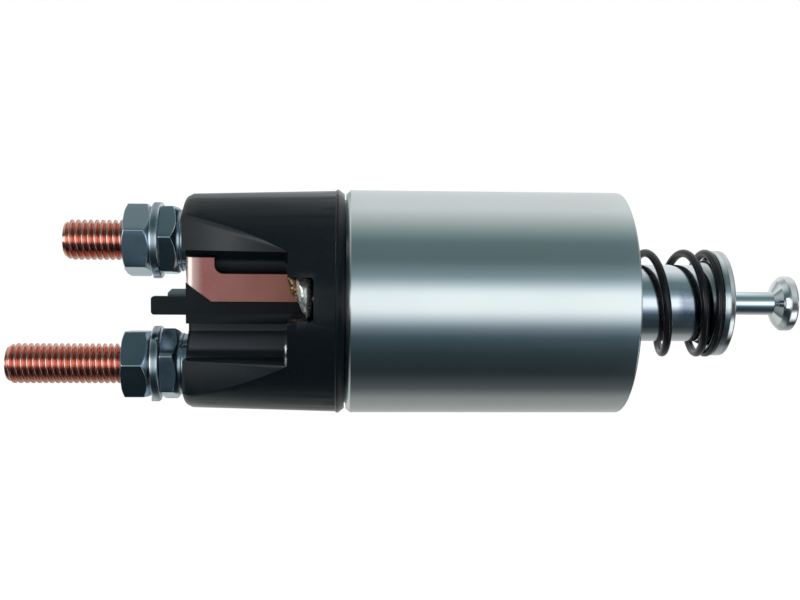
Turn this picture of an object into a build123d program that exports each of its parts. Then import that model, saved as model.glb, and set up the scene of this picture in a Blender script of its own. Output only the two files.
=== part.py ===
from build123d import *
import os
from math import radians, sqrt, tan

os.makedirs("parts", exist_ok=True)

# Starter solenoid: a coil in a round steel case pulls a plunger in, and the plunger closes a copper contact.
# Millimetres. The origin is the middle of the case's front face, +X runs out along the plunger, +Z points to
# the short stud, and -Y faces the side with the solder pocket. "near" is a distance towards -Y.

# Clearances
slide_gap = 0.07
seat_gap = 0.05
thread_gap = 0.05
lead_gap = 0.1

# Case: a drawn steel cup, open towards the terminals
case_radius = 27.5
case_length = 67.5
case_wall = 2.8
front_wall = 8.5
front_edge_radius = 0.4
mouth_wall = 1.3
lip_length = 1.1
lip_inset = 1.0
mounting_hole_radius = 2.5
mounting_hole_spacing = 40.0

# Brass sleeve that the plunger slides in
sleeve_wall = 0.8

# Plunger and its air gap to the pole
plunger_radius = 9.65
plunger_depth = 22.0
air_gap = 11.0
plunger_stop_gap = 0.1
nose_length = 4.8
nose_base_radius = 7.3
nose_tip_radius = 3.8
nose_gap = 0.2
spring_bore_radius = 6.2
spring_bore_end_wall = 14.0
rivet_pocket_depth = 1.5
rivet_pocket_radius = 3.3
plunger_edge = 0.4

# Return spring between the case and the spring seat
return_spring_length = 24.0
return_wire = 2.0
return_coil_radius = 12.55
return_closed_pitch = 2.05
return_active_turns = 2
return_start_angle = 176.4

# Spring seat: a turned cover on the plunger's outer end
seat_flange_radius = 13.2
seat_flange_thickness = 2.7
seat_hub_radius = 10.8
seat_hub_length = 2.0
seat_edge = 0.45

# Pull rod with a mushroom head for the shift lever
rod_radius = 2.9
rod_head_start = 40.0
rod_head_cone = 2.5
rod_head_rim = 2.3
rod_head_dome = 1.0
rod_head_radius = 6.85
rod_head_edge = 0.5
rod_neck_radius = 2.2
rivet_radius = 2.8
rivet_height = 1.1
retainer_radius = 5.9
retainer_thickness = 2.0

# Drive spring inside the plunger
drive_wire = 1.4
drive_coil_radius = 4.65
drive_turns = 9

# Magnetic circuit at the terminal end
seat_depth = 6.5
plate_thickness = 6.0
pole_recess_radius = 7.0
pole_recess_depth = 5.7
gasket_thickness = 1.0
gasket_width = 3.55

# Coil
bobbin_hub_wall = 0.9
bobbin_flange = 1.2
bobbin_rim_gap = 0.4
pull_in_depth = 5.9
winding_gap = 0.1
winding_cover = 1.6
lead_inset = 3.5

# Contact shaft, its bush and its clip
shaft_radius = 2.6
shaft_stroke = 3.0
push_gap = 0.1
shaft_tail = 4.6
shaft_collar_radius = 5.8
shaft_collar_thickness = 1.5
clip_thickness = 0.8
clip_radius = 4.4
clip_groove_depth = 0.4
bush_wall = 1.3
bush_flange_radius = 4.8
bush_flange_thickness = 1.2
bush_overlap = 2.2
back_washer_radius = 6.0
back_washer_thickness = 0.8

# Contact disc and the stud heads that it bridges
disc_radius = 18.5
disc_thickness = 2.2
disc_overtravel = 0.6
contact_clearance = 0.05

# Contact spring behind the disc and contact return spring in the cap's well
contact_wire = 1.0
contact_coil_radius = 4.9
contact_turns = 3
small_return_wire = 0.9
small_return_coil_radius = 3.35
small_return_turns = 6

# Terminal cap: a phenolic moulding
cap_reach = 38.3
cap_groove_gap = 0.35
cap_groove_inset = 1.0
cap_rim_width = 1.45
cap_rim_proud = 0.1
cap_bead = 0.5
cap_bead_step = 0.2
cap_base_inset = 0.2
cap_draft = 1.0
cap_end_edge = 1.2
cap_end_edge_drop = 0.6
collar_end = 13.2
pocket_width = 5.9
pocket_bottom = -2.8
pocket_top = 7.4
pocket_corner = 0.8
pocket_wall = 1.8
chamber_wall = 3.15
well_radius = 4.5
well_depth = 11.0
side_flat_near = 15.2
side_flat_angle = 18.7
channel_half_width = 13.0
channel_floor = 3.5
boss_cove = 2.2
boss_radius = 9.3
block_half_width = 4.9
block_near = 8.6
tongue_length = 8.3
tongue_bottom = -2.8
tongue_top = 1.65
tongue_thickness = 1.6
tongue_corner = 0.8

# Studs and what is stacked on them
stud_radius = 4.92
stud_offset = 15.25
stud_drop = 0.5
stud_head_radius = 7.0
stud_head_thickness = 3.15
stud_tip_edge = 1.4
thread_pitch_radius = 4.51
thread_mouth = 0.15
long_stud_reach = 44.45
short_stud_reach = 30.1
stud_hole_gap = 0.08
collar_radius = 7.4
collar_thickness = 1.5
plain_washer_radius = 7.6
plain_washer_thickness = 0.8
jam_nut_flats = 16.0
jam_nut_thickness = 4.3
spring_washer_radius = 9.35
spring_washer_wall = 4.0
spring_washer_thickness = 2.0
upper_washer_space = 2.15
lower_washer_space = 2.85
spring_washer_turn = 0.955
spring_washer_angle = 128.0
nut_flats = 16.0
nut_thickness = 6.5
nut_chamfer = 1.05
jam_nut_chamfer = 0.45
nut_corner_radius = 0.45
bearing_radius = 7.65
bearing_cone = 1.3
upper_nut_angle = 17.5
lower_nut_angle = 4.0
upper_jam_angle = 6.9
lower_jam_angle = 18.7

# Copper strap from the short stud to the solder pocket
strap_thickness = 1.2
strap_bottom = 0.36
strap_top = 7.3
strap_tab_top = 11.2
strap_tab_width = 7.1
strap_corner = 2.0
strap_slope_length = 6.2
strap_leg_bottom = 5.0
strap_leg_near = 3.0
strap_end_margin = 1.7
strap_bend_radius = 0.8
strap_eye_radius = 7.5

# Blade terminal for the ignition switch
blade_width = 6.3
blade_thickness = 0.8
blade_near = 4.2
blade_reach = 4.9
blade_tip_edge = 1.0
blade_joggle_start = 12.0
blade_joggle_length = 3.0
blade_tail_near = 6.2
blade_tail_width = 3.0
blade_tail_reach = 1.8

# Coil leads
lead_radius = 0.7
motor_lead_height = 2.3
switch_lead_height = -1.0
lead_bend_radius = 2.4
lead_drop = 2.7
solder_near = 13.8
solder_foot_share = 0.86
solder_waist_share = 0.8
solder_tip_share = 0.3

# Stations along the axis
x_mouth = -case_length
x_lip = x_mouth + lip_length
x_plate_left = x_mouth + seat_depth
x_plate_right = x_plate_left + plate_thickness
x_plunger = -plunger_depth
x_pole = x_plunger - air_gap
x_seat = return_spring_length
x_bore_end = x_plunger + spring_bore_end_wall
x_recess = x_plate_left + pole_recess_depth
x_spigot = x_plate_left - gasket_thickness
x_groove = x_mouth - cap_groove_gap
x_rim = x_groove - cap_rim_width
x_collar = x_mouth - collar_end
x_pocket = x_collar + pocket_width
x_floor = x_pocket + pocket_wall
x_well = x_floor - well_depth
x_end = x_mouth - cap_reach
x_contact = x_floor + stud_head_thickness
x_disc = x_contact + shaft_stroke - disc_overtravel + contact_clearance
x_disc_back = x_disc + disc_thickness
x_bush = x_disc - bush_flange_thickness
x_clip = x_bush - clip_thickness
x_shaft_collar = x_recess - shaft_collar_thickness
x_nose_tip = x_plunger - nose_length
x_pole_cone = x_pole - nose_length - nose_gap

# Radii that follow from what runs inside what
inner_radius = case_radius - case_wall
mouth_radius = case_radius - mouth_wall
trapped_radius = mouth_radius - seat_gap
chamber_radius = trapped_radius - chamber_wall
lead_near = inner_radius - lead_inset
sleeve_inner = plunger_radius + slide_gap
sleeve_outer = sleeve_inner + sleeve_wall
front_bore_radius = sleeve_outer + seat_gap
bobbin_bore_radius = sleeve_outer + seat_gap
bobbin_hub_radius = bobbin_bore_radius + bobbin_hub_wall
shaft_bore_radius = shaft_radius + slide_gap
bush_radius = shaft_radius + bush_wall
stud_bore_radius = stud_radius + thread_gap
travel = air_gap - plunger_stop_gap
upper_stud = stud_offset - stud_drop
lower_stud = -stud_offset - stud_drop


def axial_plane(x):
    """Plane across the axis at x, whose first direction is +Y."""
    return Plane.YZ.offset(x)


def save(piece, name):
    """Labels a finished piece and writes its STEP file."""
    piece.part.label = name
    export_step(piece.part, f"parts/{name}.step")


# Steel case, with the front wall, the bore for the sleeve and a mouth rolled in over the cap
with BuildPart() as case:
    with BuildSketch(Plane.XY):
        with BuildLine():
            Polyline(
                (0, case_radius - front_edge_radius),
                (0, front_bore_radius),
                (-front_wall, front_bore_radius),
                (-front_wall, inner_radius),
                (x_plate_right, inner_radius),
                (x_plate_right, mouth_radius),
                (x_lip, mouth_radius),
                (x_mouth, mouth_radius - lip_inset),
                (x_mouth, case_radius - lip_inset),
                (x_lip, case_radius),
                (-front_edge_radius, case_radius),
            )
            RadiusArc(
                (-front_edge_radius, case_radius),
                (0, case_radius - front_edge_radius),
                front_edge_radius,
            )
        make_face()
    revolve(axis=Axis.X)
    with BuildSketch(axial_plane(0)):
        with GridLocations(mounting_hole_spacing, 0, 2, 1):
            Circle(mounting_hole_radius)
    extrude(amount=-front_wall, mode=Mode.SUBTRACT)
save(case, "case")

# Brass guide sleeve, from the front face to the core plate
with BuildPart() as guide_sleeve:
    with BuildSketch(axial_plane(x_plate_right)):
        Circle(sleeve_outer)
        Circle(sleeve_inner, mode=Mode.SUBTRACT)
    extrude(amount=-x_plate_right)
save(guide_sleeve, "guide_sleeve")

# Coil bobbin: a spool on the sleeve, with holes for both leads in its rear flange
bobbin_rim_radius = inner_radius - bobbin_rim_gap
with BuildPart() as coil_bobbin:
    with BuildSketch(Plane.XY):
        with BuildLine():
            Polyline(
                (-front_wall, bobbin_bore_radius),
                (-front_wall, bobbin_rim_radius),
                (-front_wall - bobbin_flange, bobbin_rim_radius),
                (-front_wall - bobbin_flange, bobbin_hub_radius),
                (x_plate_right + bobbin_flange, bobbin_hub_radius),
                (x_plate_right + bobbin_flange, bobbin_rim_radius),
                (x_plate_right, bobbin_rim_radius),
                (x_plate_right, bobbin_bore_radius),
                close=True,
            )
        make_face()
    revolve(axis=Axis.X)
    with BuildSketch(axial_plane(x_plate_right)):
        with Locations((-lead_near, motor_lead_height), (-lead_near, switch_lead_height)):
            Circle(lead_radius + lead_gap)
    extrude(amount=bobbin_flange, mode=Mode.SUBTRACT)
save(coil_bobbin, "coil_bobbin")

# The two windings, one round the other between the bobbin's flanges
winding_start = x_plate_right + bobbin_flange
winding_length = -front_wall - bobbin_flange - winding_start
pull_in_inner = bobbin_hub_radius + seat_gap
pull_in_outer = pull_in_inner + pull_in_depth
hold_in_inner = pull_in_outer + winding_gap
with BuildPart() as pull_in_winding:
    with BuildSketch(axial_plane(winding_start)):
        Circle(pull_in_outer)
        Circle(pull_in_inner, mode=Mode.SUBTRACT)
    extrude(amount=winding_length)
save(pull_in_winding, "pull_in_winding")

with BuildPart() as hold_in_winding:
    with BuildSketch(axial_plane(winding_start)):
        Circle(inner_radius - winding_cover)
        Circle(hold_in_inner, mode=Mode.SUBTRACT)
    extrude(amount=winding_length)
save(hold_in_winding, "hold_in_winding")

# Core plate: the ring that closes the magnetic circuit, seated on the shoulder in the case
pole_radius = plunger_radius
with BuildPart() as core_plate:
    with BuildSketch(axial_plane(x_plate_left)):
        Circle(trapped_radius)
        Circle(pole_radius + seat_gap, mode=Mode.SUBTRACT)
        with Locations((-lead_near, motor_lead_height), (-lead_near, switch_lead_height)):
            Circle(lead_radius + lead_gap, mode=Mode.SUBTRACT)
    extrude(amount=plate_thickness)
save(core_plate, "core_plate")

# Stationary pole, coned to meet the plunger's nose and bored for the contact shaft
with BuildPart() as stationary_pole:
    with BuildSketch(Plane.XY):
        with BuildLine():
            Polyline(
                (x_pole, nose_base_radius + nose_gap),
                (x_pole, pole_radius),
                (x_plate_left, pole_radius),
                (x_plate_left, pole_recess_radius),
                (x_recess, pole_recess_radius),
                (x_recess, shaft_bore_radius),
                (x_pole_cone, shaft_bore_radius),
                (x_pole_cone, nose_tip_radius + nose_gap),
                close=True,
            )
        make_face()
    revolve(axis=Axis.X)
save(stationary_pole, "stationary_pole")

# Gasket between the core plate and the cap's flange
with BuildPart() as cap_gasket:
    with BuildSketch(axial_plane(x_spigot)):
        Circle(trapped_radius)
        Circle(trapped_radius - gasket_width, mode=Mode.SUBTRACT)
    extrude(amount=gasket_thickness)
save(cap_gasket, "cap_gasket")

# Blade terminal: a flat tab with a joggle inside the moulding and a narrow tail in the contact chamber
x_blade_tip = x_end - blade_reach
x_joggle = x_end + blade_joggle_start
x_joggle_end = x_joggle + blade_joggle_length
x_blade_tail = x_floor + blade_tail_reach
with BuildPart() as blade_terminal:
    with BuildSketch(Plane.XY.offset(-blade_width / 2)):
        with BuildLine():
            Polyline(
                (x_blade_tip, -blade_near + blade_thickness / 2),
                (x_joggle, -blade_near + blade_thickness / 2),
                (x_joggle_end, -blade_tail_near + blade_thickness / 2),
                (x_blade_tail, -blade_tail_near + blade_thickness / 2),
                (x_blade_tail, -blade_tail_near - blade_thickness / 2),
                (x_joggle_end, -blade_tail_near - blade_thickness / 2),
                (x_joggle, -blade_near - blade_thickness / 2),
                (x_blade_tip, -blade_near - blade_thickness / 2),
                close=True,
            )
        make_face()
    extrude(amount=blade_width)
    with BuildSketch(Plane.XZ):
        with BuildLine():
            Polyline(
                (x_blade_tip, blade_width / 2 - blade_tip_edge),
                (x_blade_tip + blade_tip_edge, blade_width / 2),
                (x_joggle, blade_width / 2),
                (x_joggle, blade_tail_width / 2),
                (x_blade_tail, blade_tail_width / 2),
                (x_blade_tail, -blade_tail_width / 2),
                (x_joggle, -blade_tail_width / 2),
                (x_joggle, -blade_width / 2),
                (x_blade_tip + blade_tip_edge, -blade_width / 2),
                (x_blade_tip, -blade_width / 2 + blade_tip_edge),
                close=True,
            )
        make_face()
    extrude(amount=2 * blade_tail_near, mode=Mode.INTERSECT)
save(blade_terminal, "blade_terminal")

# Copper strap: an eye under the short stud's collar, bent round the cap's edge and run along the block
strap_face = block_near + strap_thickness
bend_outer = strap_bend_radius + strap_thickness
x_strap_end = x_pocket - strap_end_margin
with BuildPart() as terminal_strap:
    with BuildSketch(Plane.XY.offset(strap_bottom)):
        with BuildLine():
            Polyline(
                (x_end, -strap_face + bend_outer),
                (x_end, -strap_leg_near),
                (x_end + strap_thickness, -strap_leg_near),
                (x_end + strap_thickness, -block_near + strap_bend_radius),
            )
            RadiusArc(
                (x_end + strap_thickness, -block_near + strap_bend_radius),
                (x_end + bend_outer, -block_near),
                -strap_bend_radius,
            )
            Polyline(
                (x_end + bend_outer, -block_near),
                (x_strap_end, -block_near),
                (x_strap_end, -strap_face),
                (x_end + bend_outer, -strap_face),
            )
            RadiusArc(
                (x_end + bend_outer, -strap_face),
                (x_end, -strap_face + bend_outer),
                bend_outer,
            )
        make_face()
    extrude(amount=strap_tab_top - strap_bottom)
    with BuildSketch(Plane.XZ):
        with BuildLine():
            Polyline(
                (x_end, strap_leg_bottom),
                (x_end + strap_slope_length, strap_bottom),
                (x_strap_end, strap_bottom),
                (x_strap_end, strap_top),
                (x_end + strap_tab_width + strap_corner, strap_top),
            )
            RadiusArc(
                (x_end + strap_tab_width + strap_corner, strap_top),
                (x_end + strap_tab_width, strap_top + strap_corner),
                strap_corner,
            )
            Polyline(
                (x_end + strap_tab_width, strap_top + strap_corner),
                (x_end + strap_tab_width, strap_tab_top),
                (x_end, strap_tab_top),
                (x_end, strap_leg_bottom),
            )
        make_face()
    extrude(amount=2 * strap_face, mode=Mode.INTERSECT)
    with BuildSketch(axial_plane(x_end)):
        with Locations((0, upper_stud)):
            Circle(strap_eye_radius)
    extrude(amount=strap_thickness)
    with BuildSketch(axial_plane(x_end)):
        with Locations((0, upper_stud)):
            Circle(stud_bore_radius)
    extrude(amount=strap_thickness, mode=Mode.SUBTRACT)
save(terminal_strap, "terminal_strap")

# Cutter for the channel in the cap's near side: it leaves the block and the two stud bosses, which spread in a
# cove where they meet the collar
with BuildPart() as channel:
    with BuildSketch(axial_plane(x_end)):
        with Locations((-(channel_floor + case_radius) / 2, 0)):
            Rectangle(case_radius - channel_floor, 2 * channel_half_width)
        with Locations((-block_near / 2, 0)):
            Rectangle(block_near, 2 * block_half_width, mode=Mode.SUBTRACT)
    extrude(amount=x_collar - x_end)
    for height in (upper_stud, lower_stud):
        with BuildSketch(Plane.XY.offset(height)):
            with BuildLine():
                Polyline(
                    (x_collar, boss_radius + boss_cove),
                    (x_collar, 0),
                    (x_end, 0),
                    (x_end, boss_radius),
                    (x_collar - boss_cove, boss_radius),
                )
                RadiusArc(
                    (x_collar - boss_cove, boss_radius),
                    (x_collar, boss_radius + boss_cove),
                    -boss_cove,
                )
            make_face()
        revolve(axis=Axis((0, 0, height), (1, 0, 0)), mode=Mode.SUBTRACT)

# Cutter for the pocket in the collar, where the coil's lead meets the strap
with BuildPart() as pocket:
    with BuildSketch(Plane.XZ.offset(block_near)):
        with BuildLine():
            Polyline(
                (x_collar - pocket_corner, pocket_bottom),
                (x_pocket, pocket_bottom),
                (x_pocket, pocket_top),
                (x_collar - pocket_corner, pocket_top),
                close=True,
            )
        make_face()
    extrude(amount=case_radius)
    fillet(pocket.edges().filter_by(Axis.Y).group_by(Axis.X)[-1], radius=pocket_corner)

# Terminal cap
cap_groove_radius = case_radius - cap_groove_inset
cap_rim_radius = case_radius + cap_rim_proud
cap_base_radius = case_radius - cap_base_inset
cap_end_radius = cap_base_radius - cap_draft
with BuildPart() as terminal_cap:
    with BuildSketch(Plane.XY):
        with BuildLine():
            Polyline(
                (x_spigot, 0),
                (x_spigot, trapped_radius),
                (x_lip, trapped_radius),
                (x_mouth, trapped_radius - lip_inset),
                (x_groove, trapped_radius - lip_inset),
                (x_groove, cap_groove_radius),
                (x_rim, cap_rim_radius),
                (x_rim - cap_bead, cap_rim_radius),
                (x_rim - cap_bead - cap_bead_step, cap_base_radius),
                (x_end + cap_end_edge, cap_end_radius),
                (x_end, cap_end_radius - cap_end_edge_drop),
                (x_end, 0),
                close=True,
            )
        make_face()
    revolve(axis=Axis.X)
    with BuildSketch(axial_plane(x_floor)):
        Circle(chamber_radius)
    extrude(amount=x_spigot - x_floor, mode=Mode.SUBTRACT)
    with BuildSketch(axial_plane(x_well)):
        Circle(well_radius)
    extrude(amount=well_depth, mode=Mode.SUBTRACT)
    with BuildSketch(axial_plane(x_end)):
        with Locations((0, upper_stud), (0, lower_stud)):
            Circle(stud_radius + stud_hole_gap)
    extrude(amount=x_floor - x_end, mode=Mode.SUBTRACT)
    with BuildSketch(Plane.XY.offset(-case_radius)):
        with BuildLine():
            side_flat_top = side_flat_near + (x_collar - x_end) * tan(radians(side_flat_angle))
            Polyline(
                (x_end, -side_flat_near),
                (x_collar, -side_flat_top),
                (x_collar, -side_flat_top - case_radius),
                (x_end, -side_flat_top - case_radius),
                close=True,
            )
        make_face()
    extrude(amount=2 * case_radius, mode=Mode.SUBTRACT)
    add(channel.part, mode=Mode.SUBTRACT)
    add(pocket.part, mode=Mode.SUBTRACT)
    with BuildSketch(Plane.XZ.offset(block_near - tongue_thickness)):
        with Locations((x_end - tongue_length / 2, (tongue_bottom + tongue_top) / 2)):
            Rectangle(tongue_length, tongue_top - tongue_bottom)
        fillet(vertices().group_by(Axis.X)[0], radius=tongue_corner)
    extrude(amount=tongue_thickness)
    with BuildSketch(axial_plane(x_pocket)):
        with Locations((-lead_near, motor_lead_height)):
            Circle(lead_radius + lead_gap)
    extrude(amount=pocket_wall, mode=Mode.SUBTRACT)
    add(blade_terminal.part, mode=Mode.SUBTRACT)
    add(terminal_strap.part, mode=Mode.SUBTRACT)
save(terminal_cap, "terminal_cap")

# Lead from the coil through the plate and the cap's wall, bent down onto the strap
x_motor_lead = x_pocket - lead_drop
with BuildPart() as motor_lead:
    with BuildLine() as motor_route:
        FilletPolyline(
            (winding_start, -lead_near, motor_lead_height),
            (x_motor_lead, -lead_near, motor_lead_height),
            (x_motor_lead, -strap_face, motor_lead_height),
            radius=lead_bend_radius,
        )
    with BuildSketch(Plane(motor_route.line @ 0, z_dir=motor_route.line % 0)):
        Circle(lead_radius)
    sweep()
save(motor_lead, "motor_lead")

# Lead from the coil along the chamber's floor to the blade's tail
x_switch_lead = x_floor + lead_gap + lead_radius
blade_tail_face = blade_tail_near + blade_thickness / 2
with BuildPart() as switch_lead:
    with BuildLine() as switch_route:
        FilletPolyline(
            (winding_start, -lead_near, switch_lead_height),
            (x_switch_lead, -lead_near, switch_lead_height),
            (x_switch_lead, -blade_tail_face, switch_lead_height),
            radius=lead_bend_radius,
        )
    with BuildSketch(Plane(switch_route.line @ 0, z_dir=switch_route.line % 0)):
        Circle(lead_radius)
    sweep()
save(switch_lead, "switch_lead")

# Solder that joins the lead to the strap's end: a drop, wide at the top and narrow at the bottom
solder_left = x_collar - strap_end_margin / 2
solder_right = x_pocket - seat_gap
solder_middle = (solder_left + solder_right) / 2
solder_half_width = (solder_right - solder_left) / 2
solder_half_height = (pocket_top - pocket_bottom) / 2 - seat_gap
solder_height = (pocket_top + pocket_bottom) / 2
solder_slices = [
    (block_near, solder_foot_share),
    ((block_near + solder_near) / 2, solder_waist_share),
    (solder_near, solder_tip_share),
]
with BuildPart() as solder_joint:
    for near, share in solder_slices:
        with BuildSketch(Plane.XZ.offset(near)):
            with Locations((solder_middle, solder_height)):
                Ellipse(share * solder_half_width, share * solder_half_height)
    loft()
    add(terminal_strap.part, mode=Mode.SUBTRACT)
    add(motor_lead.part, mode=Mode.SUBTRACT)
save(solder_joint, "solder_joint")

# The stack on each stud, from the cap outwards: collar, plain washer, jam nut, spring washer, terminal nut
x_collar_ring = x_end - collar_thickness
x_plain_washer = x_collar_ring - plain_washer_thickness
x_jam_nut = x_plain_washer - jam_nut_thickness


def stud(name, height, reach, washer_space):
    """Contact stud: head, plain shank, a stretch inside the nuts at the thread's pitch radius, free crests."""
    x_tip = x_end - reach
    x_free = x_jam_nut - washer_space - nut_thickness - thread_mouth
    with BuildPart() as piece:
        with BuildSketch(Plane.XY.offset(height)):
            with BuildLine():
                Polyline(
                    (x_contact, 0),
                    (x_contact, stud_head_radius),
                    (x_floor, stud_head_radius),
                    (x_floor, stud_radius),
                    (x_end, stud_radius),
                    (x_end, thread_pitch_radius),
                    (x_free, thread_pitch_radius),
                    (x_free, stud_radius),
                    (x_tip + stud_tip_edge, stud_radius),
                    (x_tip, stud_radius - stud_tip_edge / 2),
                    (x_tip, 0),
                    close=True,
                )
            make_face()
        revolve(axis=Axis((0, 0, height), (1, 0, 0)))
    save(piece, name)


def ring(name, x, height, outer, thickness):
    """Flat ring on a stud, with its inner face at x + thickness."""
    with BuildPart() as piece:
        with BuildSketch(axial_plane(x)):
            with Locations((0, height)):
                Circle(outer)
                Circle(stud_bore_radius, mode=Mode.SUBTRACT)
        extrude(amount=thickness)
    save(piece, name)


def hex_nut(name, x, height, flats, thickness, angle, chamfer):
    """Hexagon nut, chamfered outside, coned to its bearing face; angle raises a corner above the near side."""
    corner_radius = flats / sqrt(3)
    with BuildPart() as piece:
        with BuildSketch(axial_plane(x)):
            with Locations((0, height)):
                RegularPolygon(corner_radius, 6, rotation=-angle)
                fillet(vertices(), radius=nut_corner_radius)
                Circle(thread_pitch_radius + thread_gap, mode=Mode.SUBTRACT)
        extrude(amount=thickness)
        rise = chamfer * tan(radians(30))
        with BuildSketch(Plane.XY.offset(height)):
            with BuildLine():
                Polyline(
                    (x, 0),
                    (x, corner_radius - chamfer),
                    (x + rise, corner_radius),
                    (x + thickness - bearing_cone, corner_radius),
                    (x + thickness, bearing_radius),
                    (x + thickness, 0),
                    close=True,
                )
            make_face()
        revolve(axis=Axis((0, 0, height), (1, 0, 0)), mode=Mode.INTERSECT)
    save(piece, name)


def spring_washer(name, x, height, space):
    """Split spring washer: a rectangle swept along almost one turn of a helix, with its ends offset."""
    mean_radius = spring_washer_radius - spring_washer_wall / 2
    rise = space - spring_washer_thickness
    start = (x + spring_washer_thickness / 2, 0, 0)
    with BuildPart() as turn:
        with BuildLine() as route:
            Helix(rise / spring_washer_turn, rise, mean_radius, center=start, direction=(1, 0, 0))
        with BuildSketch(Plane(route.line @ 0, x_dir=(0, 0, 1), z_dir=route.line % 0)):
            Rectangle(spring_washer_wall, spring_washer_thickness)
        sweep(is_frenet=True)
    with BuildPart() as piece:
        with Locations((0, 0, height)):
            add(turn.part, rotation=(spring_washer_angle, 0, 0))
    save(piece, name)


# Both studs carry the same stack; the upper nut is tighter, so its spring washer is flatter
stud("short_stud", upper_stud, short_stud_reach, upper_washer_space)
stud("long_stud", lower_stud, long_stud_reach, lower_washer_space)
for side, height, space, jam_angle, nut_angle in (
    ("upper", upper_stud, upper_washer_space, upper_jam_angle, upper_nut_angle),
    ("lower", lower_stud, lower_washer_space, lower_jam_angle, lower_nut_angle),
):
    x_washer = x_jam_nut - space
    x_nut = x_washer - nut_thickness
    ring(f"{side}_stud_collar", x_collar_ring, height, collar_radius, collar_thickness)
    ring(f"{side}_plain_washer", x_plain_washer, height, plain_washer_radius, plain_washer_thickness)
    hex_nut(f"{side}_jam_nut", x_jam_nut, height, jam_nut_flats, jam_nut_thickness, jam_angle, jam_nut_chamfer)
    spring_washer(f"{side}_spring_washer", x_washer, height, space)
    hex_nut(f"{side}_terminal_nut", x_nut, height, nut_flats, nut_thickness, nut_angle, nut_chamfer)

# Plunger: a nose that enters the pole's cone, and a bore for the drive spring from the outer end
with BuildPart() as plunger:
    with BuildSketch(Plane.XY):
        with BuildLine():
            Polyline(
                (x_nose_tip, 0),
                (x_nose_tip, nose_tip_radius),
                (x_plunger, nose_base_radius),
                (x_plunger, plunger_radius - plunger_edge),
                (x_plunger + plunger_edge, plunger_radius),
                (x_seat, plunger_radius),
                (x_seat, spring_bore_radius),
                (x_bore_end, spring_bore_radius),
                (x_bore_end, rivet_pocket_radius),
                (x_bore_end - rivet_pocket_depth, rivet_pocket_radius),
                (x_bore_end - rivet_pocket_depth, 0),
                close=True,
            )
        make_face()
    revolve(axis=Axis.X)
save(plunger, "plunger")

# Spring seat: its hub is pressed over the plunger's end, and its flange holds both springs
x_seat_front = x_seat + seat_flange_thickness
with BuildPart() as spring_seat:
    with BuildSketch(Plane.XY):
        with BuildLine():
            Polyline(
                (x_seat, rod_radius + slide_gap),
                (x_seat, plunger_radius + seat_gap),
                (x_seat - seat_hub_length, plunger_radius + seat_gap),
                (x_seat - seat_hub_length, seat_hub_radius),
                (x_seat, seat_hub_radius),
                (x_seat, seat_flange_radius - seat_edge),
                (x_seat + seat_edge, seat_flange_radius),
                (x_seat_front - seat_edge, seat_flange_radius),
                (x_seat_front, seat_flange_radius - seat_edge),
                (x_seat_front, rod_radius + slide_gap),
                close=True,
            )
        make_face()
    revolve(axis=Axis.X)
save(spring_seat, "spring_seat")

# Pull rod: a riveted tail, the rod and a mushroom head with a coned underside and a domed end
x_neck_end = x_bore_end + retainer_thickness
x_head_rim = rod_head_start + rod_head_cone
x_head_face = x_head_rim + rod_head_rim
dome_edge = rod_head_radius - rod_head_edge
dome_sphere = (dome_edge**2 + rod_head_dome**2) / (2 * rod_head_dome)
dome_middle_drop = dome_sphere - sqrt(dome_sphere**2 - dome_edge**2 / 4)
with BuildPart() as pull_rod:
    with BuildSketch(Plane.XY):
        with BuildLine():
            Polyline(
                (x_head_face + rod_head_dome, 0),
                (x_bore_end - rivet_height, 0),
                (x_bore_end - rivet_height, rivet_radius / 2),
                (x_bore_end, rivet_radius),
                (x_bore_end, rod_neck_radius),
                (x_neck_end, rod_neck_radius),
                (x_neck_end, rod_radius),
                (rod_head_start, rod_radius),
                (x_head_rim, rod_head_radius),
                (x_head_face - rod_head_edge, rod_head_radius),
                (x_head_face, dome_edge),
            )
            ThreePointArc(
                (x_head_face, dome_edge),
                (x_head_face + rod_head_dome - dome_middle_drop, dome_edge / 2),
                (x_head_face + rod_head_dome, 0),
            )
        make_face()
    revolve(axis=Axis.X)
save(pull_rod, "pull_rod")

# Washer riveted on the rod's tail, which the drive spring pushes to the bottom of the plunger's bore
with BuildPart() as rod_retainer:
    with BuildSketch(axial_plane(x_bore_end)):
        Circle(retainer_radius)
        Circle(rod_neck_radius + seat_gap, mode=Mode.SUBTRACT)
    extrude(amount=retainer_thickness)
save(rod_retainer, "rod_retainer")

# Contact shaft: its tip waits in the pole's cone for the plunger, and its collar rests in the pole's recess
x_shaft_end = x_clip - shaft_tail
x_shaft_tip = x_nose_tip - travel - push_gap + shaft_stroke
with BuildPart() as contact_shaft:
    with BuildSketch(Plane.XY):
        with BuildLine():
            Polyline(
                (x_shaft_end, 0),
                (x_shaft_end, shaft_radius),
                (x_clip, shaft_radius),
                (x_clip, shaft_radius - clip_groove_depth),
                (x_bush, shaft_radius - clip_groove_depth),
                (x_bush, shaft_radius),
                (x_shaft_collar, shaft_radius),
                (x_shaft_collar, shaft_collar_radius),
                (x_recess, shaft_collar_radius),
                (x_recess, shaft_radius),
                (x_shaft_tip, shaft_radius),
                (x_shaft_tip, 0),
                close=True,
            )
        make_face()
    revolve(axis=Axis.X)
save(contact_shaft, "contact_shaft")

# Insulating bush that carries the disc, with a flange on the studs' side
x_bush_end = x_disc_back + bush_overlap
with BuildPart() as insulating_bush:
    with BuildSketch(Plane.XY):
        with BuildLine():
            Polyline(
                (x_bush, shaft_radius + seat_gap),
                (x_bush, bush_flange_radius),
                (x_disc, bush_flange_radius),
                (x_disc, bush_radius),
                (x_bush_end, bush_radius),
                (x_bush_end, shaft_radius + seat_gap),
                close=True,
            )
        make_face()
    revolve(axis=Axis.X)
save(insulating_bush, "insulating_bush")

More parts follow.
